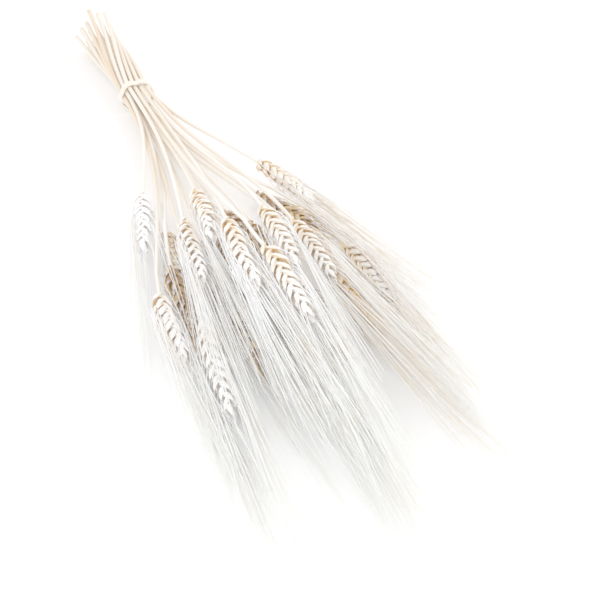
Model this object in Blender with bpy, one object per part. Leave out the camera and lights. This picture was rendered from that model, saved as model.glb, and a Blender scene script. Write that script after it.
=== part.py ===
"""A tied bunch of bleached, bearded triticale ears on their cut straws, lying on a flat surface.

Every straw with its ear is one solid: a bent straw that runs on as the ear's slim core, two rows of
overlapping spikelets that stand out of it, and a long awn drawn out of each spikelet that has room for
one. A flat band holds the straws. Metres, +Z up. The bunch lies along +X, from the cut ends to the awn
tips. The origin is under the middle of the bunch, on the surface that it lies on.
"""

import math

import bmesh
import bpy
import numpy as np
from mathutils import Matrix, Vector

SEED = 16
GOLDEN_ANGLE = math.pi * (3.0 - math.sqrt(5.0))

# Straws
STRAW_FOOT_RADIUS = 0.0016
STRAW_NECK_RADIUS = 0.0010
STRAW_SIDES = 6
STRAW_GAP = 0.0006
STRAW_STEP = 0.034

# The bundle, measured from the middle of the band
CUT_REACH = 0.138
CUT_RAGGED = 0.006
CUT_FLARE = 0.56
CUT_FLARE_CURVE = 1.4
CUT_TWIST = math.radians(-75)
CUT_LIFT = 0.006
CUT_MARGIN = 0.020
STRAW_FAN = 1.35
WAIST_PITCH = 0.0039
WAIST_ASIDE = 0.001
WAIST_LIFT = 0.00115
WAIST_HELD = 0.008
WAIST_HEIGHT_WEIGHT = 1.6

# Ears
EAR_RADIUS = 0.0070
EAR_CORE_RADIUS = 0.0018
EAR_CORE_START = 0.005
EAR_FILL = 0.90
EAR_SWELL = 0.15
EAR_TAPER = 0.45
SPIKELETS = 16
UNDER_SPIKELETS = 9
SPIKELET_SIDES = 4
SPIKELET_LENGTH = 0.0135
SPIKELET_WIDTH = 0.0088
SPIKELET_DEPTH = 0.0048
SPIKELET_FULLEST = 0.45
SPIKELET_OPENING = math.radians(29)
SPIKELET_CLOSING = 0.4
SPIKELET_STANDOFF = 0.0003
TIP_TAPER = 0.45
FOOT_TAPER = 0.8

# Awns
AWN_RADIUS = 0.00045
AWN_KNEE_RADIUS = 0.00038
AWN_LENGTHS = (0.096, 0.130)
AWN_KNEE = 0.024
AWN_KNEE_SPLAY = 0.4
AWN_SPLAY = 0.10
AWN_DRIFT = 0.3
AWN_LOWEST = 0.0012
AWN_CLEARANCE = 0.0012
AWN_SAMPLES = 40
BODY_CLEARANCE = 0.0010
AWN_TRIES = 40

# The band
BAND_WIDTH = 0.0060
BAND_THICKNESS = 0.0010
BAND_GAP = 0.0006
BAND_POINTS = 24

# How the bunch is settled on the surface
STATION_STEP = 0.005
SETTLE_ROUNDS = 500
SETTLE_PULLED = 400
SETTLE_PULL = 0.010
SETTLE_SMOOTH = 0.45
SETTLE_LAST_SMOOTH = 0.08

# One line for each ear: where its base lies from the middle of the band (x, y, z), where its tip
# lies (y, z), how far it is rolled about its own length in degrees, and its length. Those after the
# first sixteen lie under them, and are made plainer: fewer spikelets, and no awns.
IN_VIEW = 16
EARS = (
    (0.164, -0.032, 0.012, -0.046, 0.010, 10, 0.070),
    (0.205, -0.028, 0.010, -0.034, 0.009, 60, 0.056),
    (0.234, -0.023, 0.026, -0.031, 0.026, -15, 0.072),
    (0.205, -0.009, 0.030, -0.016, 0.034, 25, 0.072),
    (0.272, -0.008, 0.042, -0.012, 0.042, -5, 0.073),
    (0.258, 0.016, 0.040, 0.013, 0.040, 30, 0.071),
    (0.255, 0.034, 0.029, 0.033, 0.028, 25, 0.072),
    (0.143, 0.049, 0.015, 0.062, 0.012, -10, 0.058),
    (0.310, -0.003, 0.044, 0.002, 0.040, 20, 0.072),
    (0.255, 0.064, 0.010, 0.068, 0.009, 70, 0.068),
    (0.292, -0.049, 0.012, -0.053, 0.009, -20, 0.062),
    (0.326, -0.040, 0.011, -0.044, 0.008, 25, 0.080),
    (0.341, 0.008, 0.012, 0.008, 0.008, 5, 0.072),
    (0.285, 0.042, 0.016, 0.044, 0.010, -30, 0.070),
    (0.262, 0.006, 0.010, 0.005, 0.009, 70, 0.072),
    (0.293, -0.018, 0.013, -0.018, 0.010, 40, 0.074),
    (0.172, 0.040, 0.009, 0.056, 0.008, 20, 0.066),
    (0.245, 0.012, 0.025, 0.010, 0.024, -20, 0.070),
    (0.228, -0.011, 0.010, -0.014, 0.009, 45, 0.070),
    (0.262, -0.037, 0.011, -0.043, 0.009, 0, 0.064),
    (0.312, 0.019, 0.019, 0.018, 0.014, 30, 0.072),
    (0.211, 0.040, 0.012, 0.050, 0.010, -45, 0.070),
    (0.255, -0.010, 0.025, -0.014, 0.024, 10, 0.072),
    (0.195, 0.008, 0.011, 0.011, 0.010, 60, 0.062),
)

STRAW_COLOUR = (0.83, 0.70, 0.50, 1)
BAND_COLOUR = (0.72, 0.58, 0.38, 1)


def clear_scene():
    for obj in list(bpy.data.objects):
        bpy.data.objects.remove(obj, do_unlink=True)


def make_material(name, colour, roughness):
    material = bpy.data.materials.new(name)
    material.use_nodes = True
    shader = material.node_tree.nodes["Principled BSDF"]
    shader.inputs["Base Color"].default_value = colour
    shader.inputs["Roughness"].default_value = roughness
    shader.inputs["Metallic"].default_value = 0.0
    return material


def make_collection(name):
    collection = bpy.data.collections.new(name)
    bpy.context.scene.collection.children.link(collection)
    return collection


def ease(share):
    """0 to 1, smoothly, as share goes from 0 to 1."""
    share = np.clip(share, 0.0, 1.0)
    return share * share * (3.0 - 2.0 * share)


def waist_places():
    """Where each straw passes through the band: places in a tight triangular pack, nearest first,
    each given to the ear that leaves the pack on the same side."""
    rows = range(-3, 4)
    grid = [((a + 0.5 * b) * WAIST_PITCH, b * WAIST_PITCH * math.sqrt(0.75)) for a in rows for b in rows]
    grid.sort(key=lambda place: (round(math.hypot(place[0] - WAIST_ASIDE, place[1]), 5), place))
    free = grid[: len(EARS)]
    middle = np.mean([ear[1:3] for ear in EARS], axis=0)
    far_first = sorted(range(len(EARS)), key=lambda i: -math.dist(EARS[i][1:3], middle))
    places = [None] * len(EARS)
    for i in far_first:
        _, y, z, *_ = EARS[i]
        way = Vector((y - middle[0], WAIST_HEIGHT_WEIGHT * (z - middle[1]))).normalized()
        places[i] = max(free, key=lambda place: way.dot(Vector(place)))
        free.remove(places[i])
    return np.array(places)


def straw_ends(stations):
    """For each ear, the first station of its straw, that of the ear's base and that of its tip."""
    cut = -CUT_REACH + CUT_RAGGED * np.sin(GOLDEN_ANGLE * np.arange(len(EARS)))
    base = np.array([ear[0] for ear in EARS])
    tip = base + np.array([ear[6] for ear in EARS])
    return [np.abs(stations[None, :] - at[:, None]).argmin(axis=1) for at in (cut, base, tip)]


def body_radii(stations, ends):
    """How much room each straw and ear takes at each station, and 0 where it isn't."""
    radii = np.zeros((len(EARS), len(stations)))
    beyond = round(2 * SPIKELET_DEPTH / STATION_STEP)
    for i, (cut, base, tip) in enumerate(zip(*ends)):
        share = (stations - stations[cut]) / (stations[base] - stations[cut])
        radii[i] = STRAW_FOOT_RADIUS + (STRAW_NECK_RADIUS - STRAW_FOOT_RADIUS) * np.clip(share, 0, 1)
        along = (stations - stations[base]) / (stations[tip] - stations[base])
        swell = ease(along / EAR_SWELL + 0.5) * ease((1.0 - along) / EAR_TAPER + 0.5)
        radii[i] += (EAR_RADIUS - STRAW_NECK_RADIUS) * swell
        radii[i, :cut] = 0.0
        radii[i, tip + beyond :] = 0.0
    return radii


def first_guess(stations, ends, waist):
    """Each straw from the pack in the band to its ear, and twisted and flared behind the band."""
    lift = STRAW_FOOT_RADIUS - waist[:, 1].min() + WAIST_LIFT
    guess = np.zeros((len(EARS), len(stations), 2))
    behind = np.maximum(-stations / CUT_REACH, 0.0)
    turn = CUT_TWIST * ease(behind)
    grow = 1.0 + CUT_FLARE * behind**CUT_FLARE_CURVE
    back = stations < 0
    for i in range(len(EARS)):
        x, y, z, tip_y, tip_z, _, length = EARS[i]
        slope = np.array([tip_y - y, tip_z - z]) / length
        share = np.clip(stations / x, 0.0, 1.0)[:, None]
        start = waist[i] + (0.0, lift)
        guess[i] = start + (np.array([y, z]) - start) * ease(share**STRAW_FAN)
        guess[i] += slope * x * share**2 * (share - 1.0)
        guess[i] += slope * np.maximum(stations - x, 0.0)[:, None]
        spun_y = (waist[i, 0] * np.cos(turn) - waist[i, 1] * np.sin(turn)) * grow
        spun_z = (waist[i, 0] * np.sin(turn) + waist[i, 1] * np.cos(turn)) * grow
        guess[i, back, 0] = spun_y[back]
        guess[i, back, 1] = (spun_z + lift + CUT_LIFT * behind)[back]
    return guess


def settle(stations, guess, radii):
    """Pushes straws and ears apart, and up from the surface, until none touches another."""
    place = guess.copy()
    held = np.abs(stations) < WAIST_HELD + STATION_STEP / 2
    there = radii > 0
    apart = radii[:, None, :] + radii[None, :, :] + STRAW_GAP
    both = there[:, None, :] & there[None, :, :] & ~np.eye(len(radii), dtype=bool)[:, :, None]
    for step in range(SETTLE_ROUNDS):
        gap = place[:, None] - place[None, :]
        size = np.linalg.norm(gap, axis=3) + 1e-9
        short = np.where(both, np.maximum(apart - size, 0.0), 0.0)
        place += 0.5 * (gap / size[..., None] * short[..., None]).sum(axis=1)
        pulled = step < SETTLE_PULLED
        if pulled:
            place += SETTLE_PULL * (guess - place)
        middle = 0.5 * (place[:, :-2] + place[:, 2:])
        place[:, 1:-1] += (SETTLE_SMOOTH if pulled else SETTLE_LAST_SMOOTH) * (middle - place[:, 1:-1])
        place[:, :, 1] = np.maximum(place[:, :, 1], radii)
        place[:, held] = guess[:, held]
    return place


def culm_lines():
    """The settled centre line of every straw and ear, as lists of points, with each ear's base index."""
    furthest = max(ear[0] + ear[6] for ear in EARS)
    stations = np.arange(-CUT_REACH - CUT_MARGIN, furthest + CUT_MARGIN, STATION_STEP)
    ends = straw_ends(stations)
    radii = body_radii(stations, ends)
    place = settle(stations, first_guess(stations, ends, waist_places()), radii)
    lines = []
    for i, (cut, base, tip) in enumerate(zip(*ends)):
        points = [Vector((stations[k], *place[i, k])) for k in range(cut, tip + 1)]
        lines.append((points, base - cut, radii[i, cut : tip + 1]))
    return lines


def straw_stops(points, base):
    """The points that a straw's tube runs through: its ends, both sides of the band, and every step."""
    steps = round((points[base].x - WAIST_HELD) / STRAW_STEP)
    wanted = [points[0].x, -CUT_REACH * 2 / 3, -CUT_REACH / 3, -WAIST_HELD]
    wanted += list(np.linspace(WAIST_HELD, points[base].x, steps + 1))
    stops = {min(range(base + 1), key=lambda k: abs(points[k].x - x)) for x in wanted}
    last = len(points) - 1
    core = base + round(EAR_CORE_START / STATION_STEP)
    return sorted(stops | {core, (core + last) // 2, last})


def straw_mesh(points, base):
    """The straw, and the slim core that it becomes in the ear, as one tapered tube with closed ends."""
    stops = straw_stops(points, base)
    curve = bpy.data.curves.new("straw", "CURVE")
    curve.dimensions = "3D"
    curve.bevel_depth = 1.0
    curve.bevel_resolution = STRAW_SIDES // 2 - 2
    curve.use_fill_caps = True
    spline = curve.splines.new("POLY")
    spline.points.add(len(stops) - 1)
    for point, k in zip(spline.points, stops):
        point.co = (*points[k], 1.0)
        point.radius = STRAW_FOOT_RADIUS + (STRAW_NECK_RADIUS - STRAW_FOOT_RADIUS) * min(1.0, k / base)
        if k > base:
            point.radius = EAR_CORE_RADIUS if k < len(points) - 1 else 0.5 * EAR_CORE_RADIUS
    return welded_mesh(curve)


def welded_mesh(curve):
    """The curve's tube as a mesh with its caps welded on, and the curve removed."""
    obj = bpy.data.objects.new("tube", curve)
    bpy.context.scene.collection.objects.link(obj)
    graph = bpy.context.evaluated_depsgraph_get()
    mesh = bpy.data.meshes.new_from_object(obj.evaluated_get(graph))
    bpy.data.objects.remove(obj)
    bm = bmesh.new()
    bm.from_mesh(mesh)
    bmesh.ops.remove_doubles(bm, verts=bm.verts, dist=1e-6)
    bmesh.ops.recalc_face_normals(bm, faces=bm.faces)
    bm.to_mesh(mesh)
    bm.free()
    return mesh


def spikelet_mesh(foot, root, across, size, awn):
    """One spikelet from foot to root, fullest half way, and then its awn's bend and tip if it has one."""
    depth = across.cross(root - foot).normalized() * (size * SPIKELET_DEPTH / 2)
    rings = [(foot, Vector(), Vector())]
    rings.append((foot.lerp(root, SPIKELET_FULLEST), across * (size * SPIKELET_WIDTH / 2), depth))
    line = [root, *awn]
    for centre, beyond, radius in zip(line, line[1:], (AWN_RADIUS, AWN_KNEE_RADIUS)):
        needle = (beyond - centre).normalized()
        side = needle.cross(depth).normalized() * radius
        rings.append((centre, side, side.cross(needle)))
    rings.append((line[-1], Vector(), Vector()))
    last = len(rings) - 1
    bm = bmesh.new()
    bmesh.ops.create_uvsphere(bm, u_segments=SPIKELET_SIDES, v_segments=last, radius=1.0)
    for vert in bm.verts:
        turn = math.acos(max(-1.0, min(1.0, vert.co.z)))
        centre, one, other = rings[round(turn / math.pi * last)]
        angle = math.atan2(vert.co.y, vert.co.x)
        vert.co = centre + one * math.cos(angle) + other * math.sin(angle)
    mesh = bpy.data.meshes.new("spikelet")
    bm.to_mesh(mesh)
    bm.free()
    return mesh


def ear_axes(points, base, k, roll):
    """At station k: the way the ear runs, the way its two rows of spikelets face, and the third axis."""
    before, after = max(base, k - 2), min(len(points) - 1, k + 2)
    along = (points[after] - points[before]).normalized()
    rows = Vector((0, 1, 0))
    rows = (rows - along * rows.dot(along)).normalized()
    rows.rotate(Matrix.Rotation(math.radians(roll), 3, along))
    return along, rows, along.cross(rows)


def spikelet_places(points, base, roll, count):
    """Each spikelet's foot, its far end, its across axis, the way the ear runs, and its size."""
    last = len(points) - 1
    for n in range(count):
        side = 1 if n % 2 else -1
        share = n / (count - 1)
        at = base + EAR_FILL * share * (last - base)
        k = min(int(at), last - 1)
        along, rows, across = ear_axes(points, base, k, roll)
        size = 1.0 - TIP_TAPER * max(0.0, share - 0.5) - FOOT_TAPER * max(0.0, 0.2 - share)
        opening = 0.0 if n == count - 1 else SPIKELET_OPENING * (1.0 - SPIKELET_CLOSING * share)
        way = along * math.cos(opening) + rows * (side * math.sin(opening))
        foot = points[k].lerp(points[k + 1], at - k) + rows * (side * SPIKELET_STANDOFF)
        yield foot, foot + way * (size * SPIKELET_LENGTH), across, along, size


def segment_gap(start, end, starts, ends):
    """Shortest distance from one segment to any of several."""
    u, v, w = end - start, ends - starts, start - starts
    a, b, c = u @ u, v @ u, (v * v).sum(1)
    d, e = w @ u, (v * w).sum(1)
    flat = np.maximum(a * c - b * b, 1e-18)
    s = np.clip((b * e - c * d) / flat, 0.0, 1.0)
    t = np.clip((b * s + e) / c, 0.0, 1.0)
    s = np.clip((b * t - d) / a, 0.0, 1.0)
    between = w + s[:, None] * u - t[:, None] * v
    return np.linalg.norm(between, axis=1).min()


def is_clear(line, own, bodies, awns):
    """True if a bent awn keeps clear of all other awns, and of every other ear's straw and spikelets."""
    line = np.array(line)
    for start, end in zip(line, line[1:]):
        walk = start + np.linspace(0.0, 1.0, AWN_SAMPLES)[:, None] * (end - start)
        for i, (points, radii) in enumerate(bodies):
            reach = np.linalg.norm(walk[:, None] - points[None, :], axis=2) - radii[None, :]
            if i != own and reach.min() < BODY_CLEARANCE:
                return False
        if awns and segment_gap(start, end, *np.array(awns).transpose(1, 0, 2)) < AWN_CLEARANCE:
            return False
    return True


def awn_line(own, spikelet, bodies, awns, draw):
    """Bend and tip of the awn of one of ear own's spikelets, drawn again until it is clear, or none."""
    foot, root, across, along, _ = spikelet
    out = (root - foot).normalized()
    beside = along.cross(across).normalized()
    for attempt in range(AWN_TRIES):
        angle = draw.uniform(0.0, 2.0 * math.pi)
        aside = (across * math.sin(angle) + beside * math.cos(angle)) * (AWN_SPLAY * draw.random())
        leaving = along.lerp(out, 0.5 - 0.5 * attempt / AWN_TRIES)
        ahead = leaving.lerp(Vector((1, 0, 0)), AWN_DRIFT)
        knee = root + (leaving + AWN_KNEE_SPLAY * aside).normalized() * AWN_KNEE
        tip = knee + (ahead + aside).normalized() * (draw.uniform(*AWN_LENGTHS) - AWN_KNEE)
        knee.z, tip.z = max(knee.z, AWN_LOWEST), max(tip.z, AWN_LOWEST)
        if is_clear((root, knee, tip), own, bodies, awns):
            awns += [(np.array(root), np.array(knee)), (np.array(knee), np.array(tip))]
            return knee, tip
    return ()


def fuse(name, trunk, twigs, material, collection, parent):
    """One solid node: the trunk with all its twigs joined to it by one Boolean union."""
    obj = bpy.data.objects.new(name, trunk)
    collection.objects.link(obj)
    loose = make_collection(f"{name} repeats")
    for mesh in twigs:
        loose.objects.link(bpy.data.objects.new(mesh.name, mesh))
    union = obj.modifiers.new("union", "BOOLEAN")
    union.operation = "UNION"
    union.operand_type = "COLLECTION"
    union.collection = loose
    union.solver = "MANIFOLD"
    graph = bpy.context.evaluated_depsgraph_get()
    joined = bpy.data.meshes.new_from_object(obj.evaluated_get(graph))
    obj.modifiers.clear()
    obj.data = joined
    joined.name = name
    joined.materials.clear()
    joined.materials.append(material)
    for twig in list(loose.objects):
        bpy.data.objects.remove(twig)
    bpy.data.collections.remove(loose)
    obj.parent = parent


def make_ears(lines, material, collection, parent):
    bodies = [(np.array(points), radii) for points, _, radii in lines]
    draw = np.random.default_rng(SEED)
    awns = []
    for i, (points, base, _) in enumerate(lines):
        twigs = []
        count = SPIKELETS if i < IN_VIEW else UNDER_SPIKELETS
        for spikelet in spikelet_places(points, base, EARS[i][5], count):
            foot, root, across, _, size = spikelet
            awn = awn_line(i, spikelet, bodies, awns, draw) if i < IN_VIEW else ()
            twigs.append(spikelet_mesh(foot, root, across, size, awn))
        fuse(f"ear_{i + 1:02d}", straw_mesh(points, base), twigs, material, collection, parent)


def band_loop(bm, waist, middle, out, lowest):
    """A closed loop round the straws at the distance out from them, flat along its lowest stretch."""
    loop = bmesh.ops.create_circle(bm, cap_ends=False, segments=BAND_POINTS, radius=1.0)["verts"]
    for vert in loop:
        way = Vector((0, vert.co.x, vert.co.y))
        reach = max((place - middle).dot(way) for place in waist) + STRAW_FOOT_RADIUS + out
        vert.co = middle + way * reach
        vert.co.x = -BAND_WIDTH / 2
        vert.co.z = max(vert.co.z, lowest)
    return [edge for edge in bm.edges if edge.verts[0] in loop and edge.verts[1] in loop]


def make_band(lines, material, collection, parent):
    """A flat elastic band round the straws, flat where it meets the surface."""
    waist = [min(points, key=lambda point: abs(point.x)) for points, _, _ in lines]
    ends = [(min(place[axis] for place in waist), max(place[axis] for place in waist)) for axis in (1, 2)]
    middle = Vector((0, sum(ends[0]) / 2, sum(ends[1]) / 2))
    bm = bmesh.new()
    inner = band_loop(bm, waist, middle, BAND_GAP, BAND_THICKNESS)
    outer = band_loop(bm, waist, middle, BAND_GAP + BAND_THICKNESS, 0.0)
    ring = bmesh.ops.bridge_loops(bm, edges=inner + outer)["faces"]
    wall = bmesh.ops.extrude_face_region(bm, geom=ring)["geom"]
    moved = [part for part in wall if isinstance(part, bmesh.types.BMVert)]
    bmesh.ops.translate(bm, verts=moved, vec=(BAND_WIDTH, 0, 0))
    bmesh.ops.recalc_face_normals(bm, faces=bm.faces)
    mesh = bpy.data.meshes.new("band")
    bm.to_mesh(mesh)
    bm.free()
    mesh.materials.append(material)
    band = bpy.data.objects.new("band", mesh)
    collection.objects.link(band)
    band.parent = parent


def centre_over_origin(parent, collection):
    """Moves the whole bunch so that the middle of its underside is at the origin."""
    graph = bpy.context.evaluated_depsgraph_get()
    corners = []
    for obj in collection.objects:
        shown = obj.evaluated_get(graph)
        corners += [shown.matrix_world @ Vector(corner) for corner in shown.bound_box]
    low = Vector(map(min, *corners))
    high = Vector(map(max, *corners))
    parent.location = (-(low.x + high.x) / 2, -(low.y + high.y) / 2, -low.z)


def main():
    clear_scene()
    collection = make_collection("triticale_bunch")
    bunch = bpy.data.objects.new("bunch", None)
    bpy.context.scene.collection.objects.link(bunch)
    straw = make_material("bleached straw", STRAW_COLOUR, 0.55)
    latex = make_material("natural latex", BAND_COLOUR, 0.45)
    lines = culm_lines()
    make_ears(lines, straw, collection, bunch)
    make_band(lines, latex, collection, bunch)
    centre_over_origin(bunch, collection)


main()
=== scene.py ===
import math

import bpy
import numpy as np
from mathutils import Matrix, Vector


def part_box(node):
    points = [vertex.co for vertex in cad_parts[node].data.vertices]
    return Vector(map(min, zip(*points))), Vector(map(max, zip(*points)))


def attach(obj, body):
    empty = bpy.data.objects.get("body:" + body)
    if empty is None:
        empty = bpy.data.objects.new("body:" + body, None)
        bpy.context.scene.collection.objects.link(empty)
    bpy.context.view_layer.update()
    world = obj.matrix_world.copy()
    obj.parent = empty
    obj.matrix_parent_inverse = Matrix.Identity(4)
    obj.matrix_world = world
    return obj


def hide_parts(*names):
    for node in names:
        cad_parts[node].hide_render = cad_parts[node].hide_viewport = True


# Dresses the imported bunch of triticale: fine straws, spikelets, awns and band, a white table and soft light.
# Lengths are in metres and angles in degrees.

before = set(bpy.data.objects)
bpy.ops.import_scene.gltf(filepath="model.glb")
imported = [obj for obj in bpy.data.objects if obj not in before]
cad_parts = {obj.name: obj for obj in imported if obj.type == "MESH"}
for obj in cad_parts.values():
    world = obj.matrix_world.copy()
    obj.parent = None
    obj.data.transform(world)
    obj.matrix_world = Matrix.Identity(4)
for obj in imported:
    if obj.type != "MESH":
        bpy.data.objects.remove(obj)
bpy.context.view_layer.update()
print("frame loaded")

draw = np.random.default_rng(7)
# no point of a scale or an awn comes nearer to the table than this
leastHeight = 0.0002

# Each ear: its base from the middle of the band (x, y, z), its tip (y, z), its roll, its length,
# and its warmth: how golden the bleach has left it, with painted light and shade in it too. The palest ears,
# at the left, are painted lighter as painted light, and the brown ears near 1, under and between the others,
# are painted shade for the dark gaps among the ears.
ears = {
    "ear_01": (0.164, -0.032, 0.012, -0.046, 0.010, 10, 0.070, 0.02),
    "ear_02": (0.205, -0.028, 0.010, -0.034, 0.009, 60, 0.056, 0.70),
    "ear_03": (0.234, -0.023, 0.026, -0.031, 0.026, -15, 0.072, 0.18),
    "ear_04": (0.205, -0.009, 0.030, -0.016, 0.034, 25, 0.072, 0.24),
    "ear_05": (0.272, -0.008, 0.042, -0.012, 0.042, -5, 0.073, 0.22),
    "ear_06": (0.258, 0.016, 0.040, 0.013, 0.040, 30, 0.071, 0.24),
    "ear_07": (0.255, 0.034, 0.029, 0.033, 0.028, 25, 0.072, 0.26),
    "ear_08": (0.143, 0.049, 0.015, 0.062, 0.012, -10, 0.058, 0.30),
    "ear_09": (0.310, -0.003, 0.044, 0.002, 0.040, 20, 0.072, 0.22),
    "ear_10": (0.255, 0.064, 0.010, 0.068, 0.009, 70, 0.068, 0.28),
    "ear_11": (0.292, -0.049, 0.012, -0.053, 0.009, -20, 0.062, 0.15),
    "ear_12": (0.326, -0.040, 0.011, -0.044, 0.008, 25, 0.080, 0.12),
    "ear_13": (0.341, 0.008, 0.012, 0.008, 0.008, 5, 0.072, 0.25),
    "ear_14": (0.285, 0.042, 0.016, 0.044, 0.010, -30, 0.070, 0.75),
    "ear_15": (0.262, 0.006, 0.010, 0.005, 0.009, 70, 0.072, 1.00),
    "ear_16": (0.293, -0.018, 0.013, -0.018, 0.010, 40, 0.074, 1.00),
    "ear_17": (0.172, 0.040, 0.009, 0.056, 0.008, 20, 0.066, 1.00),
    "ear_18": (0.245, 0.012, 0.025, 0.010, 0.024, -20, 0.070, 1.00),
    "ear_19": (0.228, -0.011, 0.010, -0.014, 0.009, 45, 0.070, 1.00),
    "ear_20": (0.262, -0.037, 0.011, -0.043, 0.009, 0, 0.064, 1.00),
    "ear_21": (0.312, 0.019, 0.019, 0.018, 0.014, 30, 0.072, 0.90),
    "ear_22": (0.211, 0.040, 0.012, 0.050, 0.010, -45, 0.070, 0.90),
    "ear_23": (0.255, -0.010, 0.025, -0.014, 0.024, 10, 0.072, 1.00),
    "ear_24": (0.195, 0.008, 0.011, 0.011, 0.010, 60, 0.062, 0.90),
}
baseX, baseY, baseZ, tipY, tipZ, rolls, earLengths, warmthsAndShade = np.array(list(ears.values())).T
warmthAndShadeOf = dict(zip(ears, warmthsAndShade))
rollOf = dict(zip(ears, rolls))

# How the straws pass through the band, flare behind it and settle on the table.
lay = {
    # radii of a straw at its cut end and below its ear and of an ear's room, and the gap between any two
    "footRadius": 0.0016,
    "neckRadius": 0.0010,
    "earRadius": 0.0070,
    "gap": 0.0006,
    # shares of an ear over which its room grows and shrinks, and where it ends, in stations past the tip
    "earSwell": 0.15,
    "earTaper": 0.45,
    "beyondTip": 2,
    # the cut ends: how far behind the band, how ragged, how they spread, turn and rise
    "cutReach": 0.138,
    "cutRagged": 0.006,
    "flare": 0.56,
    "flareCurve": 1.4,
    "twist": -75,
    "cutLift": 0.006,
    # the pack in the band: from straw to straw, its shift, its lift and the length held on each side
    "pitch": 0.0039,
    "aside": 0.001,
    "lift": 0.00115,
    "held": 0.008,
    # how much more an ear's height counts than its place across, when it is given its place in the pack
    "heightWeight": 1.6,
    # how late the straws fan out
    "fan": 1.35,
    # the stations along the bunch, and how straws and ears settle there
    "station": 0.005,
    "margin": 0.020,
    "rounds": 500,
    "pulledRounds": 400,
    "pull": 0.010,
    "smooth": 0.45,
    "lastSmooth": 0.08,
}


def ease(share):
    share = np.clip(share, 0.0, 1.0)
    return share * share * (3.0 - 2.0 * share)


def waistPlaces():
    # the middle places of a tight triangular pack, each given to the ear that leaves on the same side
    steps = range(-3, 4)
    pitch = lay["pitch"]
    grid = [((a + 0.5 * b) * pitch, b * pitch * math.sqrt(0.75)) for a in steps for b in steps]
    grid.sort(key=lambda place: (round(math.hypot(place[0] - lay["aside"], place[1]), 5), place))
    free = grid[: len(ears)]
    bases = list(zip(baseY, baseZ))
    middle = np.mean(bases, axis=0)
    farFirst = sorted(range(len(bases)), key=lambda i: -math.dist(bases[i], middle))
    places = [None] * len(bases)
    for i in farFirst:
        y, z = bases[i]
        way = Vector((y - middle[0], lay["heightWeight"] * (z - middle[1]))).normalized()
        places[i] = max(free, key=lambda place: way.dot(Vector(place)))
        free.remove(places[i])
    return np.array(places)


def strawEnds(stations):
    # the stations nearest to each straw's cut end, its ear's base and its ear's tip
    goldenAngle = math.pi * (3.0 - math.sqrt(5.0))
    cut = -lay["cutReach"] + lay["cutRagged"] * np.sin(goldenAngle * np.arange(len(ears)))
    return [np.abs(stations[None, :] - at[:, None]).argmin(axis=1) for at in (cut, baseX, baseX + earLengths)]


def roomNeeded(stations, ends):
    # the radius that each straw and its ear take up at every station
    radii = np.zeros((len(ears), len(stations)))
    foot, neck = lay["footRadius"], lay["neckRadius"]
    for i, (cut, base, tip) in enumerate(zip(*ends)):
        share = (stations - stations[cut]) / (stations[base] - stations[cut])
        radii[i] = foot + (neck - foot) * np.clip(share, 0, 1)
        along = (stations - stations[base]) / (stations[tip] - stations[base])
        swell = ease(along / lay["earSwell"] + 0.5) * ease((1.0 - along) / lay["earTaper"] + 0.5)
        radii[i] += (lay["earRadius"] - neck) * swell
        radii[i, :cut] = 0.0
        radii[i, tip + lay["beyondTip"] :] = 0.0
    return radii


def firstGuess(stations, waist):
    # a smooth way for each straw from the band to its ear, and a twisted, spreading one to its cut end
    lift = lay["footRadius"] - waist[:, 1].min() + lay["lift"]
    guess = np.zeros((len(ears), len(stations), 2))
    behind = np.maximum(-stations / lay["cutReach"], 0.0)
    turn = math.radians(lay["twist"]) * ease(behind)
    grow = 1.0 + lay["flare"] * behind ** lay["flareCurve"]
    back = stations < 0
    for i in range(len(ears)):
        x, y, z = baseX[i], baseY[i], baseZ[i]
        slope = np.array([tipY[i] - y, tipZ[i] - z]) / earLengths[i]
        share = np.clip(stations / x, 0.0, 1.0)[:, None]
        start = waist[i] + (0.0, lift)
        guess[i] = start + (np.array([y, z]) - start) * ease(share ** lay["fan"])
        guess[i] += slope * x * share**2 * (share - 1.0)
        guess[i] += slope * np.maximum(stations - x, 0.0)[:, None]
        spunY = (waist[i, 0] * np.cos(turn) - waist[i, 1] * np.sin(turn)) * grow
        spunZ = (waist[i, 0] * np.sin(turn) + waist[i, 1] * np.cos(turn)) * grow
        guess[i, back, 0] = spunY[back]
        guess[i, back, 1] = (spunZ + lift + lay["cutLift"] * behind)[back]
    return guess


def settle(stations, guess, radii):
    # pushes straws and ears apart, and up from the table, until none touches another
    place = guess.copy()
    held = np.abs(stations) < lay["held"] + lay["station"] / 2
    there = radii > 0
    apart = radii[:, None, :] + radii[None, :, :] + lay["gap"]
    both = there[:, None, :] & there[None, :, :] & ~np.eye(len(radii), dtype=bool)[:, :, None]
    for step in range(lay["rounds"]):
        gap = place[:, None] - place[None, :]
        size = np.linalg.norm(gap, axis=3) + 1e-9
        short = np.where(both, np.maximum(apart - size, 0.0), 0.0)
        place += 0.5 * (gap / size[..., None] * short[..., None]).sum(axis=1)
        pulled = step < lay["pulledRounds"]
        if pulled:
            place += lay["pull"] * (guess - place)
        middle = 0.5 * (place[:, :-2] + place[:, 2:])
        place[:, 1:-1] += (lay["smooth"] if pulled else lay["lastSmooth"]) * (middle - place[:, 1:-1])
        place[:, :, 1] = np.maximum(place[:, :, 1], radii)
        place[:, held] = guess[:, held]
    return place


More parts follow.
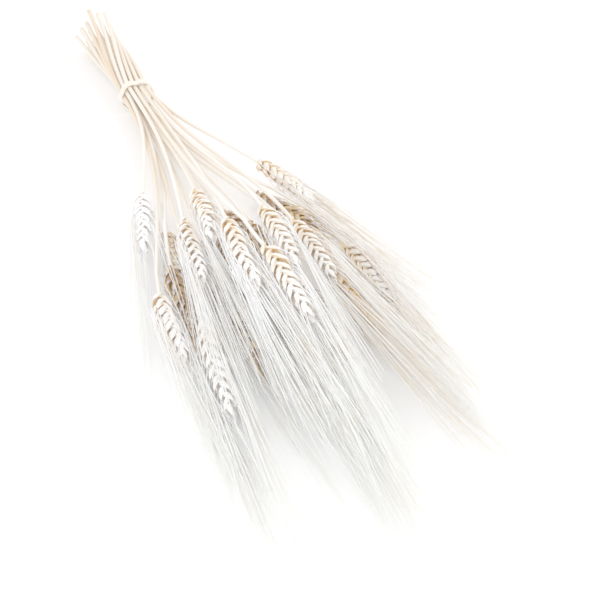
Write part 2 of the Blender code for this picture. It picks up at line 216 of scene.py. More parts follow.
def culmLines():
    # for each ear the centre line of straw and ear, the index of the ear's base on it and the room along it;
    # after them the point that the ears' places are counted from
    furthest = (baseX + earLengths).max()
    stations = np.arange(-lay["cutReach"] - lay["margin"], furthest + lay["margin"], lay["station"])
    ends = strawEnds(stations)
    radii = roomNeeded(stations, ends)
    waist = waistPlaces()
    place = settle(stations, firstGuess(stations, waist), radii)
    low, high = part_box("band")
    waistY = (waist[:, 0].min() + waist[:, 0].max()) / 2
    shift = np.array([(low.x + high.x) / 2, (low.y + high.y) / 2 - waistY, 0.0])
    lines = {}
    for i, name in enumerate(ears):
        cut, base, tip = (end[i] for end in ends)
        points = np.column_stack([stations[cut : tip + 1], place[i, cut : tip + 1]]) + shift
        lines[name] = {"points": points, "base": base - cut, "room": radii[i, cut : tip + 1]}
    return lines, shift


lines, bandCentre = culmLines()
print("straws settled")


def unit(vectors):
    return vectors / np.maximum(np.linalg.norm(vectors, axis=-1, keepdims=True), 1e-12)


def toLinear(hexColour):
    channels = [int(hexColour[i : i + 2], 16) / 255 for i in (1, 3, 5)]
    linear = [c / 12.92 if c <= 0.04045 else ((c + 0.055) / 1.055) ** 2.4 for c in channels]
    return (*linear, 1.0)


def addNode(tree, kind, settings=None, inputs=None, links=None):
    node = tree.nodes.new(kind)
    for name, value in (settings or {}).items():
        setattr(node, name, value)
    for name, value in (inputs or {}).items():
        node.inputs[name].default_value = value
    for name, source in (links or {}).items():
        tree.links.new(source, node.inputs[name])
    return node


def newMaterial(name):
    material = bpy.data.materials.new(name)
    material.use_nodes = True
    tree = material.node_tree
    return material, tree, tree.nodes["Principled BSDF"]


def pointValue(tree, title):
    # the number that each point of a piece carries under this title
    return addNode(tree, "ShaderNodeAttribute", {"attribute_name": title}).outputs["Fac"]


def noise(tree, scale, detail, place=None, roughness=0.5):
    # patches one over the scale across, laid out in metres unless another place is given
    if place is None:
        place = addNode(tree, "ShaderNodeTexCoord").outputs["Object"]
    inputs = {"Scale": scale, "Detail": detail, "Roughness": roughness}
    return addNode(tree, "ShaderNodeTexNoise", inputs=inputs, links={"Vector": place}).outputs["Fac"]


def arithmetic(tree, operation, *terms):
    # each term is a socket or a plain number
    inputs = {i: term for i, term in enumerate(terms) if isinstance(term, float)}
    links = {i: term for i, term in enumerate(terms) if not isinstance(term, float)}
    return addNode(tree, "ShaderNodeMath", {"operation": operation}, inputs, links).outputs["Value"]


def ranged(tree, value, before, after):
    # takes value from one range to another, and holds it at the ends
    inputs = {"From Min": before[0], "From Max": before[1], "To Min": after[0], "To Max": after[1]}
    return addNode(tree, "ShaderNodeMapRange", inputs=inputs, links={"Value": value}).outputs["Result"]


def mixed(tree, share, first, second):
    # two colours, each a socket or a hex text; share is how much of the second
    colours = {6: first, 7: second}
    inputs = {i: toLinear(colour) for i, colour in colours.items() if isinstance(colour, str)}
    links = {i: colour for i, colour in colours.items() if not isinstance(colour, str)}
    return addNode(tree, "ShaderNodeMix", {"data_type": "RGBA"}, inputs, {0: share, **links}).outputs[2]


def ramped(tree, stops, factor):
    ramp = addNode(tree, "ShaderNodeValToRGB", links={"Fac": factor})
    stopsThere = ramp.color_ramp.elements
    while len(stopsThere) < len(stops):
        stopsThere.new(0.5)
    for element, (position, colour) in zip(stopsThere, stops):
        element.position = position
        element.color = toLinear(colour)
    return ramp.outputs["Color"]


def embossed(tree, shader, height, strength, distance):
    inputs = {"Strength": strength, "Distance": distance}
    bump = addNode(tree, "ShaderNodeBump", inputs=inputs, links={"Height": height})
    tree.links.new(bump.outputs["Normal"], shader.inputs["Normal"])


def glowing(shader, looks):
    # light soaks a little way in, and the reach of its red, green and blue tints it
    shader.inputs["Subsurface Weight"].default_value = looks["glow"]
    shader.inputs["Subsurface Radius"].default_value = looks["glowReach"]
    shader.inputs["Subsurface Scale"].default_value = looks["glowDepth"]


# Tubes and scales are made as arrays: many of one kind at once, each with rings of points.
def ringFaces(count, rings, sides):
    # quads between rings, and a cap at each end, for count separate closed bodies
    ring = np.arange(rings - 1)[:, None] * sides
    side = np.arange(sides)[None, :]
    beside = (side + 1) % sides
    quads = np.stack([ring + side, ring + beside, ring + sides + beside, ring + sides + side], axis=-1)
    quads = quads.reshape(-1, 4)
    starts = np.arange(count)[:, None, None] * rings * sides
    quads = (quads[None] + starts).reshape(-1, 4)
    firstCap = np.arange(sides)[::-1][None, :] + starts[:, 0]
    lastCap = np.arange(sides)[None, :] + (rings - 1) * sides + starts[:, 0]
    return quads.tolist() + firstCap.tolist() + lastCap.tolist()


def makePiece(name, points, faces, material, values):
    # one mesh object from an array of points, with a number for each point under each name in values
    mesh = bpy.data.meshes.new(name)
    mesh.from_pydata(points.reshape(-1, 3).tolist(), [], faces)
    mesh.polygons.foreach_set("use_smooth", [True] * len(mesh.polygons))
    for title, numbers in values.items():
        attribute = mesh.attributes.new(title, "FLOAT", "POINT")
        attribute.data.foreach_set("value", np.ascontiguousarray(numbers, dtype=np.float32).ravel())
    mesh.materials.append(material)
    mesh.validate()
    piece = bpy.data.objects.new(name, mesh)
    bpy.context.scene.collection.objects.link(piece)
    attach(piece, "root")
    return piece


def ringAngles(sides):
    return np.arange(sides) * 2 * math.pi / sides


def roundAbout(ahead, hint, angle):
    # unit vectors at these angles round each direction in ahead; hint is any direction that none of them has
    one = unit(np.cross(ahead, hint))
    other = np.cross(ahead, one)
    return one[..., None, :] * np.cos(angle)[:, None] + other[..., None, :] * np.sin(angle)[:, None]


# Bleached straw: hollow, ribbed lengthwise and waxy, so it has soft narrow highlights and pale streaks.
strawLooks = {
    "colours": ((0.0, "#c6935d"), (0.3, "#e0bf97"), (0.6, "#ecd9c0"), (1.0, "#f6ecde")),
    # how much straws differ in tone, and how much darker all of them are
    "differing": 0.5,
    "darker": 0.2,
    # the paler neck: where it begins between cut end and ear, over how much it comes in, and how much of it
    "neckColour": "#f6f1e7",
    "neckFrom": 0.45,
    "neckOver": 0.5,
    "neckMost": 0.75,
    # streaks to a turn, to a metre and from straw to straw
    "streaks": (14.0, 22.0, 40.0),
    "ribs": 18,
    "ribStrength": 0.25,
    "ribHeight": 0.00006,
    "roughness": 0.42,
    "sides": 12,
    "hint": (0.0, 0.3, 1.0),
    # the hollow: its radius as a share of the straw's, and its depth
    "bore": 0.62,
    "hollow": 0.014,
    # the cut's slant: how far it may turn, in radians, and how much it rises
    "slantTurn": 6.3,
    "slants": (0.0003, 0.0014),
    # radius of the ear's core at its tip
    "coreTip": 0.0004,
}


def bleachedStraw():
    material, tree, shader = newMaterial("bleached ribbed straw")
    around, along, odd = (pointValue(tree, title) for title in ("around", "along", "odd"))
    # streaks about 0.7 mm wide and 45 mm long, which give every straw a grain of its own
    place = addNode(tree, "ShaderNodeCombineXYZ", links={"X": around, "Y": along, "Z": odd})
    links = {"Vector": place.outputs["Vector"]}
    streakPlace = addNode(tree, "ShaderNodeMapping", inputs={"Scale": strawLooks["streaks"]}, links=links)
    streaks = noise(tree, 1.0, 3.0, streakPlace.outputs["Vector"], roughness=0.6)
    tone = arithmetic(tree, "MULTIPLY_ADD", odd, strawLooks["differing"], streaks)
    tone = arithmetic(tree, "SUBTRACT", tone, strawLooks["darker"])
    colour = ramped(tree, strawLooks["colours"], tone)
    colour = mixed(tree, pointValue(tree, "neck"), colour, strawLooks["neckColour"])
    tree.links.new(colour, shader.inputs["Base Color"])
    # ribs about half a millimetre wide, seen as fine lengthwise lines
    ribs = arithmetic(tree, "MULTIPLY", around, 2 * math.pi * strawLooks["ribs"])
    wave = arithmetic(tree, "SINE", ribs)
    embossed(tree, shader, wave, strawLooks["ribStrength"], strawLooks["ribHeight"])
    shader.inputs["Roughness"].default_value = strawLooks["roughness"]
    shader.inputs["IOR"].default_value = 1.5
    return material


# Bleached chaff: papery scales with pale backs and golden edges, so each ear shows fine warm seams. The gold
# on the scales' inner sides and feet is partly painted shade, and the brown of the darkest ears is painted
# shade.
chaffLooks = {
    # pale ears have the first of these colours and brown ears the last: the brown is painted shade, and the
    # white of the palest ears is partly painted light
    "bodies": ((0.0, "#ffffff"), (0.12, "#f7f1e8"), (0.3, "#ebdcc4"), (0.6, "#d2a862"), (1.0, "#74470c")),
    # how much the scales of an ear differ in warmth, and the least of it
    "differing": 0.6,
    "least": 0.7,
    # the golden foot: partly the scale's own tone, partly painted shade where the scales overlap
    "foot": "#dba046",
    "tip": "#ffffff",
    # how far the blotches shift the golden foot and the pale tip
    "blotchShift": 0.35,
    # golden edges and inner sides: partly the scale's own tone, partly painted shade between the scales
    "edgeAndShade": "#d8a03e",
    "edgeAndShadeShare": 0.9,
    "grainStrength": 0.2,
    "grainHeight": 0.0001,
    "roughness": 0.55,
    "sheen": 0.05,
    "glow": 0.2,
    "glowReach": (1.0, 0.8, 0.55),
    "glowDepth": 0.0015,
}


def bleachedChaff():
    material, tree, shader = newMaterial("bleached papery chaff")
    # blotches about two millimetres across, where the bleach took unevenly
    blotches = noise(tree, 500.0, 2.0)
    odd = pointValue(tree, "odd")
    uneven = arithmetic(tree, "MULTIPLY_ADD", odd, chaffLooks["differing"], chaffLooks["least"])
    toneAndShade = arithmetic(tree, "MULTIPLY", pointValue(tree, "warmthAndShade"), uneven)
    # the brown end of this ramp is painted shade, and the white end on the palest ears partly painted light
    colour = ramped(tree, chaffLooks["bodies"], toneAndShade)
    # the far end of a scale is palest, and its foot golden: partly its own tone, partly painted shade where
    # the scales overlap
    shifted = arithmetic(tree, "MULTIPLY_ADD", blotches, chaffLooks["blotchShift"], pointValue(tree, "along"))
    footAndShadeShare = ranged(tree, shifted, (0.18, 0.40), (0.7, 0.0))
    colour = mixed(tree, footAndShadeShare, colour, chaffLooks["foot"])
    tipShare = ranged(tree, shifted, (0.85, 1.2), (0.0, 0.7))
    colour = mixed(tree, tipShare, colour, chaffLooks["tip"])
    # golden edges and inner sides, stronger in some places than in others: partly the scale's own tone, partly
    # painted shade between the scales
    edgeAndShadeMask = ranged(tree, pointValue(tree, "edgeAndShade"), (0.35, 1.0), (0.0, chaffLooks["edgeAndShadeShare"]))
    patchy = ranged(tree, blotches, (0.3, 0.6), (0.6, 1.0))
    edgeAndShadeShare = arithmetic(tree, "MULTIPLY", edgeAndShadeMask, patchy)
    colour = mixed(tree, edgeAndShadeShare, colour, chaffLooks["edgeAndShade"])
    tree.links.new(colour, shader.inputs["Base Color"])
    # grain under half a millimetre across, seen as a dry, papery surface
    grain = noise(tree, 2500.0, 1.0)
    embossed(tree, shader, grain, chaffLooks["grainStrength"], chaffLooks["grainHeight"])
    shader.inputs["Roughness"].default_value = chaffLooks["roughness"]
    shader.inputs["Sheen Weight"].default_value = chaffLooks["sheen"]
    shader.inputs["IOR"].default_value = 1.5
    glowing(shader, chaffLooks)
    return material


# Awns: stiff bristles, white near the ear, a little duller towards their ends, golden on some ears, and golden
# at the roots on the brown ears as painted shade.
awnLooks = {
    "near": "#ffffff",
    "far": "#f0f1e8",
    "golden": "#d1a157",
    # how much an ear's warmth, with its painted shade, adds to the tone of its awns
    "warmthShare": 0.9,
    "roughness": 0.4,
    "glow": 0.6,
    "glowReach": (1.0, 0.95, 0.9),
    "glowDepth": 0.0008,
}


def bleachedAwn():
    material, tree, shader = newMaterial("bleached bristle")
    # tone wanders over a few centimetres along a bristle
    wander = noise(tree, 40.0, 2.0)
    colour = mixed(tree, pointValue(tree, "along"), awnLooks["near"], awnLooks["far"])
    tone = arithmetic(tree, "MULTIPLY", pointValue(tree, "odd"), wander)
    # the ear's warmth makes the roots golden on the brown ears, as painted shade
    tone = arithmetic(tree, "MULTIPLY_ADD", pointValue(tree, "warmthAndShade"), awnLooks["warmthShare"], tone)
    goldenShare = ranged(tree, tone, (0.38, 1.1), (0.0, 1.0))
    colour = mixed(tree, goldenShare, colour, awnLooks["golden"])
    tree.links.new(colour, shader.inputs["Base Color"])
    shader.inputs["Roughness"].default_value = awnLooks["roughness"]
    shader.inputs["IOR"].default_value = 1.5
    glowing(shader, awnLooks)
    return material


strawMaterial = bleachedStraw()
chaffMaterial = bleachedChaff()
awnMaterial = bleachedAwn()
print("materials made")


def makeStraw(name):
    # a hollow cut end, a bare straw thinning to the ear, and the ear's core inside the spikelets
    looks = strawLooks
    points, base = lines[name]["points"], lines[name]["base"]
    count = len(points)
    share = np.arange(count) / base
    foot, neck = lay["footRadius"], lay["neckRadius"]
    radii = foot + (neck - foot) * np.minimum(share, 1.0)
    radii[base:] = np.linspace(neck, looks["coreTip"], count - base)
    # two more rings line the hollow, one deep in it and one at the cut
    deep = points[0] + unit(points[1] - points[0]) * looks["hollow"]
    path = np.vstack([deep, points[0], points[0], points[1:]])
    radii = np.concatenate([[foot * looks["bore"]] * 2, radii])
    share = np.concatenate([[0, 0], share])
    ahead = unit(np.gradient(points, axis=0))
    ahead = np.vstack([ahead[0], ahead[0], ahead])
    sides = looks["sides"]
    angle = ringAngles(sides)
    rings = path[:, None] + roundAbout(ahead, looks["hint"], angle) * radii[:, None, None]
    # the cut is slanted a little
    slant = np.cos(angle + draw.uniform(0, looks["slantTurn"])) * draw.uniform(*looks["slants"])
    rings[1:3] += slant[None, :, None] * ahead[0]
    paler = ease((share - looks["neckFrom"]) / looks["neckOver"]) * looks["neckMost"]
    values = {
        "along": np.repeat(path[:, 0], sides),
        "around": np.tile(np.arange(sides) / sides, len(path)),
        "odd": np.full(len(path) * sides, draw.random()),
        "neck": np.repeat(paler, sides),
    }
    piece = makePiece(f"{name}_straw", rings, ringFaces(1, len(path), sides), strawMaterial, values)
    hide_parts(name)
    return piece


# One spikelet: two keeled glumes outside, two florets within them and one more in the middle.
spikeletShape = {
    "count": 16,
    # the angle that spikelets stand off the ear, how it varies, and how it closes towards the ear's tip
    "opening": 27,
    "openings": (0.85, 1.12),
    "closing": 0.4,
    "standoff": -0.0007,
    # the share of the ear's line that the spikelets' feet fill
    "fill": 0.90,
    # spikelets are smaller past tipFrom and before footUntil, both shares of the ear
    "tipTaper": 0.45,
    "tipFrom": 0.5,
    "footTaper": 0.8,
    "footUntil": 0.2,
    # each scale: how far across it stands, its tilt, how far on it starts, and its length, width and depth
    "glume": {"across": 0.0017, "tilt": 12, "on": 0.0, "length": 0.0098, "width": 0.0038, "depth": 0.0018},
    "floret": {"across": 0.0011, "tilt": 8, "on": 0.0013, "length": 0.0116, "width": 0.0042, "depth": 0.0027},
    "middle": {"across": 0.0, "tilt": 0, "on": 0.0034, "length": 0.0096, "width": 0.0036, "depth": 0.0028},
    "kinds": (("glume", 1), ("glume", -1), ("floret", 1), ("floret", -1), ("middle", 1)),
    # how the tilt, the lean outward and the size vary from scale to scale
    "tilts": (0.7, 1.3),
    "leans": (-0.04, 0.06),
    "sizes": (0.94, 1.06),
    # how far the keels of the outer scales face outward
    "keelOut": 0.55,
    # the outline of a scale: its width at these shares of its length
    "stations": (0.0, 0.06, 0.16, 0.30, 0.46, 0.62, 0.76, 0.88, 1.0),
    "outline": (0.30, 0.58, 0.86, 1.0, 0.98, 0.82, 0.58, 0.32, 0.08),
    "sides": 12,
    # how far its keel stands out, how full its inner side is, and how far it bows
    "keel": 1.25,
    "inside": 0.5,
    "bow": 0.0007,
    # the share of florets that hide a smaller one
    "hidden": 0.3,
    # golden edges and painted shade on the inner sides: their level and fall across a scale, and their
    # strength on pale, golden and brown ears
    "edgeAndShadeLevel": 1.15,
    "edgeAndShadeFall": 1.3,
    "edgesAndShade": ((0.0, 0.2, 0.6, 0.9), (0.35, 1.0, 1.0, 0.6)),
    # warmth and painted shade fade from the ear's foot to its tip, and less on the warm and shaded ears
    "fadeFrom": 1.1,
    "fade": 0.85,
    "warmKeeps": 0.7,
}


def spikelets(name):
    # the foot, directions, size and share of the ear of each spikelet
    shape = spikeletShape
    points, base = lines[name]["points"], lines[name]["base"]
    last = len(points) - 1
    count = shape["count"]
    made = []
    for n in range(count):
        side = 1 if n % 2 else -1
        share = n / (count - 1)
        at = base + shape["fill"] * share * (last - base)
        k = min(int(at), last - 1)
        before, after = max(base, k - 2), min(last, k + 2)
        along = Vector(points[after] - points[before]).normalized()
        rows = Vector((0, 1, 0))
        rows = (rows - along * rows.dot(along)).normalized()
        rows.rotate(Matrix.Rotation(math.radians(rollOf[name]), 3, along))
        across = along.cross(rows)
        towardsTip = max(0.0, share - shape["tipFrom"])
        towardsFoot = max(0.0, shape["footUntil"] - share)
        size = 1.0 - shape["tipTaper"] * towardsTip - shape["footTaper"] * towardsFoot
        # the last spikelet points straight on
        opening = 0.0
        if n < count - 1:
            opening = math.radians(shape["opening"]) * (1.0 - shape["closing"] * share)
        opening *= draw.uniform(*shape["openings"])
        way = along * math.cos(opening) + rows * (side * math.sin(opening))
        foot = Vector(points[k]).lerp(Vector(points[k + 1]), at - k) + rows * (side * shape["standoff"])
        out = (rows * side - way * way.dot(rows * side)).normalized()
        made.append(
            {
                "foot": foot,
                "way": way,
                "across": across,
                "out": out,
                "along": along,
                "size": size,
                "share": share,
            }
        )
    return made


def scalePoints(scales):
    # closed boat-shaped scales: each has foot, way, keel (the way its back faces), length, width and depth
    shape = spikeletShape
    stations, outline = np.array(shape["stations"]), np.array(shape["outline"])
    angle = ringAngles(shape["sides"])
    keys = ("foot", "way", "keel", "length", "width", "depth")
    foot, way, keel, length, width, depth = (np.array([scale[key] for scale in scales]) for key in keys)
    keel = unit(keel - way * (keel * way).sum(axis=1, keepdims=True))
    beside = np.cross(way, keel)
    # the back stands out along its keel, and the inner side is flatter
    swell = np.where(np.sin(angle) > 0.01, 1.0, shape["inside"])
    swell = np.where(np.abs(angle - math.pi / 2) < 0.01, shape["keel"], swell)
    acrossPart = np.cos(angle)[None, None, :] * (width[:, None] / 2 * outline[None, :])[:, :, None]
    keelPart = (np.sin(angle) * swell)[None, None, :] * (depth[:, None] / 2 * outline[None, :])[:, :, None]
    bow = shape["bow"] * np.sin(math.pi * stations)
    centre = foot[:, None] + way[:, None] * (length[:, None] * stations[None, :])[:, :, None]
    centre = centre + keel[:, None] * bow[None, :, None]
    points = centre[:, :, None] + beside[:, None, None] * acrossPart[..., None]
    return points + keel[:, None, None] * keelPart[..., None]


def makeEar(name):
    # all scales of one ear as one piece; returns where its awns start
    shape = spikeletShape
    scales, starts = [], []
    fading = shape["fade"] * (1.0 - shape["warmKeeps"] * warmthAndShadeOf[name])
    for spikelet in spikelets(name):
        foot, way, across, out, size = (spikelet[key] for key in ("foot", "way", "across", "out", "size"))
        for kind, hand in shape["kinds"]:
            form = shape[kind]
            tilt = math.radians(form["tilt"] * draw.uniform(*shape["tilts"])) * hand
            leaning = (way * math.cos(tilt) + across * math.sin(tilt)).normalized()
            leaning = (leaning + out * draw.uniform(*shape["leans"])).normalized()
            root = foot + way * (form["on"] * size) + across * (hand * form["across"] * size)
            keel = out if kind == "middle" else across * hand + out * shape["keelOut"]
            grown = size * draw.uniform(*shape["sizes"])
            scales.append(
                {
                    "foot": root,
                    "way": leaning,
                    "keel": keel.normalized(),
                    "length": form["length"] * grown,
                    "width": form["width"] * grown,
                    "depth": form["depth"] * grown,
                    "odd": draw.random(),
                    "fade": shape["fadeFrom"] - fading * spikelet["share"],
                }
            )
            # a floret ends in an awn, and some hide a smaller floret with another
            awnCount = 0 if kind == "glume" else 1 + (draw.random() < shape["hidden"])
            start = {
                "tip": root + leaning * form["length"] * grown,
                "way": leaning,
                "along": spikelet["along"],
                "out": out,
                "across": across * hand,
            }
            starts += [start] * awnCount
    points = scalePoints(scales)
    points[..., 2] = np.maximum(points[..., 2], leastHeight)
    count, rings, sides, _ = points.shape
    # golden edges and painted shade: nothing on the keel, most at the scale's edges and on its inner side,
    # where the scales shade one another
    edgeAndShade = np.clip(shape["edgeAndShadeLevel"] - shape["edgeAndShadeFall"] * np.sin(ringAngles(sides)), 0.0, 1.0)
    edgeAndShade = edgeAndShade * np.interp(warmthAndShadeOf[name], *shape["edgesAndShade"])
    fade = np.array([scale["fade"] for scale in scales])[:, None, None]
    odd = np.array([scale["odd"] for scale in scales])[:, None, None]
    # the ear's warmth, faded towards its tip, carries painted shade on the brown ears and painted light on the
    # palest
    values = {
        "along": np.broadcast_to(np.array(shape["stations"])[None, :, None], (count, rings, sides)),
        "odd": np.broadcast_to(odd, (count, rings, sides)),
        "warmthAndShade": np.broadcast_to(warmthAndShadeOf[name] * fade, (count, rings, sides)),
        "edgeAndShade": edgeAndShade[None, None, :] * np.broadcast_to(fade, (count, rings, sides)),
    }
    piece = makePiece(f"{name}_spikelets", points, ringFaces(count, rings, sides), chaffMaterial, values)
    return starts


for name in ears:
    makeStraw(name)
print("straws made")
awnStarts = {name: makeEar(name) for name in ears}
print("ears made")

# Awns leave their florets as these point, bend forward and then run almost straight.
awnShape = {
    "lengths": (0.104, 0.142),
    # where the awns of the left, middle and right ears gather: x and y from the band, the ears' least y,
    # and how much they gather
    "tufts": ((0.535, -0.053, -1.0, 0.55), (0.525, -0.003, -0.028, 0.55), (0.500, 0.068, 0.027, 0.8)),
    "tuftHeight": 0.004,
    # ears, counted from 0, whose awns keep to themselves
    "loose": (0, 7, 16, 21),
    "rings": 14,
    "sides": 4,
    "hint": (0.1, 0.2, 1.0),
    "rootRadius": 0.00030,
    "tipRadius": 0.00012,
    # the share of its length over which an awn turns from its floret's way to its own
    "bend": 0.16,
    # how much of its way is straight along the bunch, aside, off the ear, and wandering
    "drift": 0.30,
    "splay": 0.06,
    "outward": 0.03,
    "wander": 0.02,
    # bending off the ears: rounds, room kept, the share of its own ear's room that counts, push and stiffness
    "rounds": 14,
    "keepClear": 0.0005,
    "ownRoom": 0.5,
    "push": 0.7,
    "stiffness": 0.5,
    # the least height of its middle line
    "lowest": 0.0007,
    # warmth of the awns on ears further across than goldenSide, of the others, and added at brown ears' roots
    # as painted shade
    "goldenSide": 0.02,
    "golden": 0.32,
    "pale": 0.1,
    "rootGoldAndShade": 0.8,
}


def freeAwns():
    # the path of every awn before it meets an ear, whose it is, and the length of its steps
    shape = awnShape
    starts = [start for name in ears for start in awnStarts[name]]
    owner = np.concatenate([[i] * len(awnStarts[name]) for i, name in enumerate(ears)])
    count, rings = len(starts), shape["rings"]
    keys = ("tip", "way", "along", "out", "across")
    tip, first, along, out, across = (np.array([start[key] for start in starts]) for key in keys)
    length = draw.uniform(*shape["lengths"], count)
    turn = draw.uniform(0, 2 * math.pi, count)
    much = shape["splay"] * np.sqrt(draw.random(count))
    aside = across * (np.sin(turn) * much)[:, None] + out * (np.cos(turn) * much)[:, None]
    goal = np.zeros((count, 3))
    gather = np.zeros((count, 1))
    for x, y, least, gathered in shape["tufts"]:
        belongs = tipY[owner] > least
        goal[belongs] = (x, y, shape["tuftHeight"])
        gather[belongs] = gathered
    gather[np.isin(owner, shape["loose"])] = 0.0
    own = unit(along * (1 - shape["drift"]) + np.array([1.0, 0, 0]) * shape["drift"])
    toTuft = unit(goal + bandCentre - tip)
    final = unit(own * (1 - gather) + toTuft * gather + aside + out * shape["outward"])
    share = np.linspace(0, 1, rings)
    blend = ease(share / shape["bend"])
    wander = draw.normal(0, shape["wander"], (count, 1, 3)) * (share**2)[None, :, None]
    ways = unit(first[:, None] * (1 - blend)[None, :, None] + final[:, None] * blend[None, :, None] + wander)
    step = length / (rings - 1)
    paths = np.zeros((count, rings, 3))
    paths[:, 0] = tip
    for k in range(1, rings):
        paths[:, k] = paths[:, k - 1] + ways[:, k] * step[:, None]
    return paths, owner, step


def bendAwns(paths, owner, step):
    # pushes every awn off the ears that it would run through, and keeps it stiff and off the table
    shape = awnShape
    bodies = np.concatenate([line["points"][line["base"] :] for line in lines.values()])
    room = np.concatenate([line["room"][line["base"] :] for line in lines.values()])
    whose = np.repeat(np.arange(len(lines)), [len(line["points"]) - line["base"] for line in lines.values()])
    for _ in range(shape["rounds"]):
        for i in range(len(ears)):
            chosen = owner == i
            mine = paths[chosen]
            need = np.where(whose == i, room * shape["ownRoom"], room) + shape["keepClear"]
            gap = mine[:, :, None] - bodies[None, None]
            size = np.linalg.norm(gap, axis=-1) + 1e-9
            short = np.maximum(need - size, 0.0)
            worst = short.argmax(axis=2)
            much = np.take_along_axis(short, worst[..., None], 2)[..., 0]
            away = np.take_along_axis(gap / size[..., None], worst[..., None, None], 2)[:, :, 0]
            mine[:, 2:] += (away * much[..., None])[:, 2:] * shape["push"]
            mine[:, 2:-1] += shape["stiffness"] * (0.5 * (mine[:, 1:-2] + mine[:, 3:]) - mine[:, 2:-1])
            mine[:, -1] += shape["stiffness"] * (2 * mine[:, -2] - mine[:, -3] - mine[:, -1])
            mine[:, :, 2] = np.maximum(mine[:, :, 2], shape["lowest"])
            for k in range(1, shape["rings"]):
                mine[:, k] = mine[:, k - 1] + unit(mine[:, k] - mine[:, k - 1]) * step[chosen][:, None]
            mine[:, :, 2] = np.maximum(mine[:, :, 2], shape["lowest"])
            paths[chosen] = mine


def makeAwns(name, paths, side):
    # the awns of one ear as one piece of thin four-sided tubes; side is how far across the bunch the ear lies
    shape = awnShape
    count, rings, sides = *paths.shape[:2], shape["sides"]
    radii = np.linspace(shape["rootRadius"], shape["tipRadius"], rings)
    around = roundAbout(unit(np.gradient(paths, axis=1)), shape["hint"], ringAngles(sides))
    points = paths[:, :, None] + around * radii[None, :, None, None]
    points[..., 2] = np.maximum(points[..., 2], leastHeight)
    along = np.linspace(0, 1, rings)
    # awns of brown ears are golden over their first third, as painted shade
    warmthAndShade = shape["golden"] if side > shape["goldenSide"] else shape["pale"]
    warmthAndShade = warmthAndShade + shape["rootGoldAndShade"] * warmthAndShadeOf[name] * np.clip(1 - 3 * along, 0, 1)
    values = {
        "along": np.broadcast_to(along[None, :, None], (count, rings, sides)),
        "odd": np.broadcast_to(draw.random(count)[:, None, None], (count, rings, sides)),
        "warmthAndShade": np.broadcast_to(warmthAndShade[None, :, None], (count, rings, sides)),
    }
    awns = makePiece(f"{name}_awns", points, ringFaces(count, rings, sides), awnMaterial, values)


paths, owner, step = freeAwns()
bendAwns(paths, owner, step)
for i, name in enumerate(ears):
    makeAwns(name, paths[owner == i], baseY[i])
print("awns made:", len(paths))

# The band is a flat latex ring wound round the straws; it keeps its CAD shape.
latexLooks = {"colour": "#f6ecdb", "mottle": "#eddcc2", "roughness": 0.5}


def naturalLatex():
    material, tree, shader = newMaterial("natural latex")
    # mottling about three millimetres across, so the band isn't one flat tone
    colour = ramped(tree, ((0.3, latexLooks["mottle"]), (0.7, latexLooks["colour"])), noise(tree, 300.0, 2.0))
    tree.links.new(colour, shader.inputs["Base Color"])
    shader.inputs["Roughness"].default_value = latexLooks["roughness"]
    return material


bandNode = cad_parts["band"]
bandNode.data.materials.clear()
bandNode.data.materials.append(naturalLatex())

# The table, matt white.
tableLooks = {"half": 3.0, "colour": "#f1f1f0", "clouds": "#efefee", "roughness": 0.9, "glow": 0.10}


def whiteTable():
    material, tree, shader = newMaterial("matt white table")
    # faint clouds about 17 mm across, so the white isn't quite flat
    colour = ramped(tree, ((0.0, tableLooks["clouds"]), (1.0, tableLooks["colour"])), noise(tree, 60.0, 2.0))
    tree.links.new(colour, shader.inputs["Base Color"])
    shader.inputs["Roughness"].default_value = tableLooks["roughness"]
    # a faint light of its own keeps the shadows on it faint
    shader.inputs["Emission Color"].default_value = (1.0, 1.0, 1.0, 1.0)
    shader.inputs["Emission Strength"].default_value = tableLooks["glow"]
    return material


def makeTable():
    half = tableLooks["half"]
    mesh = bpy.data.meshes.new("table")
    corners = [(-half, -half, 0), (half, -half, 0), (half, half, 0), (-half, half, 0)]
    mesh.from_pydata(corners, [], [(0, 1, 2, 3)])
    mesh.materials.append(whiteTable())
    table = bpy.data.objects.new("table", mesh)
    bpy.context.scene.collection.objects.link(table)


makeTable()

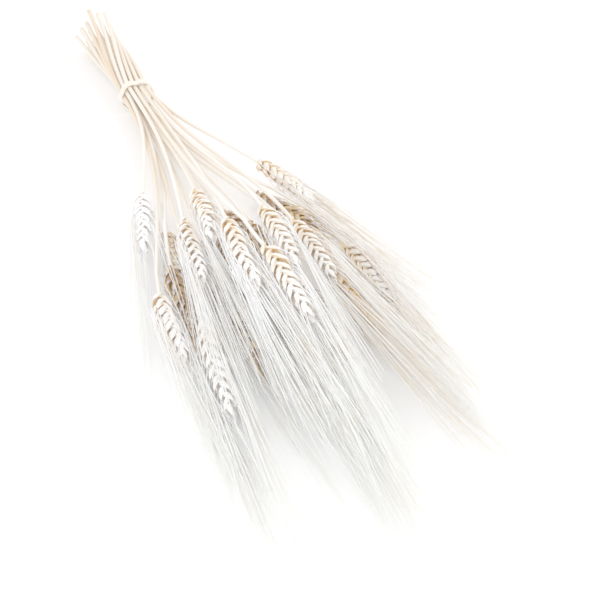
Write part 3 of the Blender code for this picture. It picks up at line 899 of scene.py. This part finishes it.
# The photograph's camera: where it stands from the band, how it is turned and how far it looks down.
cameraPlace = {
    "fromBand": (0.9715, -0.1952, 0.386),
    "turn": 162.0,
    "down": 28.5,
    "lens": 90.0,
    "sensor": 36.0,
    "nearest": 0.01,
}


def makeCamera():
    camera = bpy.data.cameras.new("camera")
    camera.lens = cameraPlace["lens"]
    camera.sensor_width = cameraPlace["sensor"]
    camera.clip_start = cameraPlace["nearest"]
    holder = bpy.data.objects.new("camera", camera)
    bpy.context.scene.collection.objects.link(holder)
    turn, down = math.radians(cameraPlace["turn"]), math.radians(cameraPlace["down"])
    look = Vector((math.cos(turn) * math.cos(down), math.sin(turn) * math.cos(down), -math.sin(down)))
    holder.location = Vector(cameraPlace["fromBand"]) + Vector(bandCentre)
    holder.rotation_euler = look.to_track_quat("-Z", "Y").to_euler()
    bpy.context.scene.camera = holder


makeCamera()

# A white sky and two soft lights: one beyond the bunch on the camera's right, and a wider one behind the
# camera on its left. The lift is the gamma of the finished picture.
lights = {
    "sky": 1.0,
    "skyColour": "#ffffff",
    "lift": 2.15,
    "key": {"from": (-0.6, 1.3, 1.5), "size": 0.9, "power": 8.0, "colour": "#fffaf2"},
    "fill": {"from": (1.1, -1.1, 1.2), "size": 1.4, "power": 14.0, "colour": "#f2f5ff"},
}


def makeLights():
    world = bpy.data.worlds.new("studio")
    world.use_nodes = True
    background = world.node_tree.nodes["Background"]
    background.inputs["Color"].default_value = toLinear(lights["skyColour"])
    background.inputs["Strength"].default_value = lights["sky"]
    bpy.context.scene.world = world
    for name in ("key", "fill"):
        light = lights[name]
        lamp = bpy.data.lights.new(name, "AREA")
        lamp.size = light["size"]
        lamp.energy = light["power"]
        lamp.color = toLinear(light["colour"])[:3]
        holder = bpy.data.objects.new(name, lamp)
        bpy.context.scene.collection.objects.link(holder)
        holder.location = light["from"]
        holder.rotation_euler = (-holder.location).to_track_quat("-Z", "Y").to_euler()
    # the photograph is printed very light, with its shadows lifted
    bpy.context.scene.view_settings.view_transform = "Standard"
    bpy.context.scene.view_settings.gamma = lights["lift"]


makeLights()
print("camera, table and lights made")
